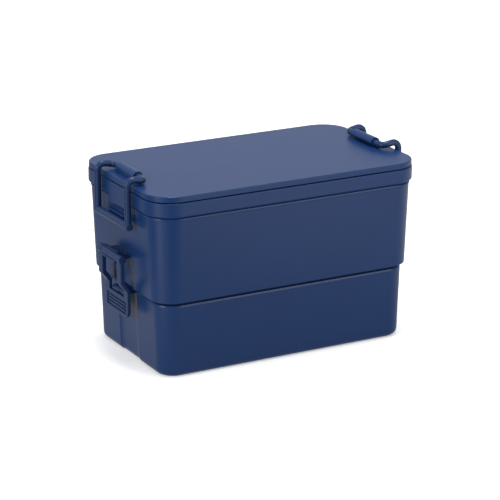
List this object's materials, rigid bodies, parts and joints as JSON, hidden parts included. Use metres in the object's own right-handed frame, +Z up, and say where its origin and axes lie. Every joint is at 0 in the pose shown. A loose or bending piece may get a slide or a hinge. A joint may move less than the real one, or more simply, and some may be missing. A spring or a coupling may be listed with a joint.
{
  "type": "two-tier bento lunch box",
  "caption": "Two stacked moulded lunch boxes with a flat sealed lid, held shut by swinging wire-form bails and by flat clips at the short ends.",
  "frame": {"origin": "middle of the footprint, on the surface that the box stands on", "axes": "+X along the long side, +Y towards the back long side, +Z up out of the lid"},
  "size_m": [0.2046, 0.1138, 0.1256],
  "materials": {
    "box_plastic": "satin moulded polypropylene, navy blue",
    "clip_plastic": "satin moulded nylon-like plastic, navy blue",
    "seal_silicone": "soft dark blue silicone"
  },
  "bodies": {
    "lower_box": {"lower_box": "box_plastic"},
    "upper_box": {"upper_box": "box_plastic", "tier_seal": "seal_silicone"},
    "lid": {"lid": "box_plastic", "lid_seal": "seal_silicone"},
    "left_lid_bail": {"left_lid_bail": "clip_plastic"},
    "right_lid_bail": {"right_lid_bail": "clip_plastic"},
    "left_tier_clip": {"left_tier_clip": "clip_plastic"},
    "right_tier_clip": {"right_tier_clip": "clip_plastic"}
  },
  "joints": [
    {"name": "tier_lift", "type": "slide", "parent": "lower_box", "child": "upper_box", "axis": [0, 0, 1], "range_m": [0, 0.052]},
    {"name": "lid_lift", "type": "slide", "parent": "upper_box", "child": "lid", "axis": [0, 0, 1], "range_m": [0, 0.052]},
    {"name": "left_tier_clip_swing", "type": "hinge", "parent": "upper_box", "child": "left_tier_clip", "pos_m": [-0.0995, 0, 0.0707], "axis": [0, 1, 0], "range_deg": [0, 120]},
    {"name": "right_tier_clip_swing", "type": "hinge", "parent": "upper_box", "child": "right_tier_clip", "pos_m": [0.0995, 0, 0.0707], "axis": [0, -1, 0], "range_deg": [0, 120]},
    {"name": "left_lid_bail_swing", "type": "hinge", "parent": "lid", "child": "left_lid_bail", "pos_m": [-0.086, 0, 0.1221], "axis": [0, 1, 0], "range_deg": [0, 120]},
    {"name": "right_lid_bail_swing", "type": "hinge", "parent": "lid", "child": "right_lid_bail", "pos_m": [0.086, 0, 0.1221], "axis": [0, -1, 0], "range_deg": [0, 120]}
  ],
  "couplings": [
    {"joint": "left_tier_clip_swing", "follows": "tier_lift", "rad_per_m": 40},
    {"joint": "right_tier_clip_swing", "follows": "tier_lift", "rad_per_m": 40},
    {"joint": "left_lid_bail_swing", "follows": "lid_lift", "rad_per_m": 40},
    {"joint": "right_lid_bail_swing", "follows": "lid_lift", "rad_per_m": 40}
  ]
}
